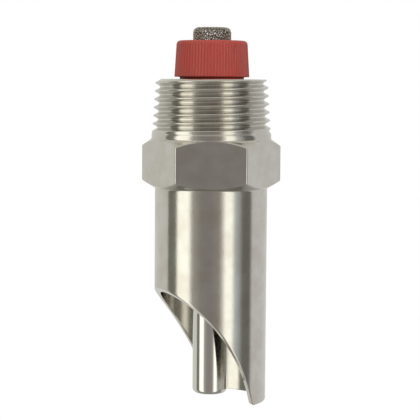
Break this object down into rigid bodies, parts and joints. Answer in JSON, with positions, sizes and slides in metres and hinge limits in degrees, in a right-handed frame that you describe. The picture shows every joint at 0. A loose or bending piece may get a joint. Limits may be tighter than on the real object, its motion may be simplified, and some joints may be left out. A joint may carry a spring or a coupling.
{
  "type": "nipple drinker",
  "caption": "Bite-type nipple drinker: taper-threaded inlet, wrench hexagon, tube with a slanted mouth and a spring-seated stem that tilts to let water out.",
  "frame": {"origin": "on the axis, at the plane where the inlet spigot meets the hexagon", "axes": "+Z along the axis towards the pipe, so the mouth hangs down -Z; -Y is the normal of the hexagon's front flat; the mouth's open side faces 205.5 degrees from +X"},
  "size_m": [0.0312, 0.027, 0.0837],
  "materials": {
    "plated_steel": "turned steel with a bright warm-grey plating, fine specks and scratches",
    "polished_steel": "polished",
    "seal_rubber": "matt moulded",
    "spring_steel": "bright drawn wire",
    "red_plastic": "moulded, slightly satin",
    "wire_mesh": "woven wire, slightly dulled"
  },
  "bodies": {
    "valve_body": {"valve_body": "plated_steel"},
    "seal": {"seal_ring": "seal_rubber"},
    "spring": {"return_spring": "spring_steel"},
    "stem": {"stem": "polished_steel"},
    "strainer": {"strainer": "wire_mesh"},
    "cap": {"inlet_cap": "red_plastic"}
  },
  "joints": [
    {"name": "pin_turn", "type": "hinge", "parent": "valve_body", "child": "seal", "pos_m": [0, 0, -0.0075], "axis": [0, 0, 1], "continuous": true},
    {"name": "pin_lift", "type": "slide", "parent": "seal", "child": "spring", "axis": [0, 0, 1], "range_m": [0, 0.0025], "stiffness_N_per_m": 1500, "springref_m": -0.002, "deforming": ["return_spring"]},
    {"name": "pin_tilt", "type": "hinge", "parent": "spring", "child": "stem", "pos_m": [-0.00542, -0.00258, -0.0055], "axis": [0.4305, -0.9026, 0], "range_deg": [0, 6.5], "stiffness_Nm_per_rad": 0.054, "springref_deg": -19.08},
    {"name": "cap_rise", "type": "slide", "parent": "valve_body", "child": "strainer", "axis": [0, 0, 1], "range_m": [0, 0.006]},
    {"name": "cap_turn", "type": "hinge", "parent": "strainer", "child": "cap", "pos_m": [0, 0, 0.0138], "axis": [0, 0, 1], "range_deg": [0, 1440]}
  ],
  "couplings": [
    {"joint": "cap_rise", "follows": "cap_turn", "m_per_rad": 0.00023873}
  ]
}
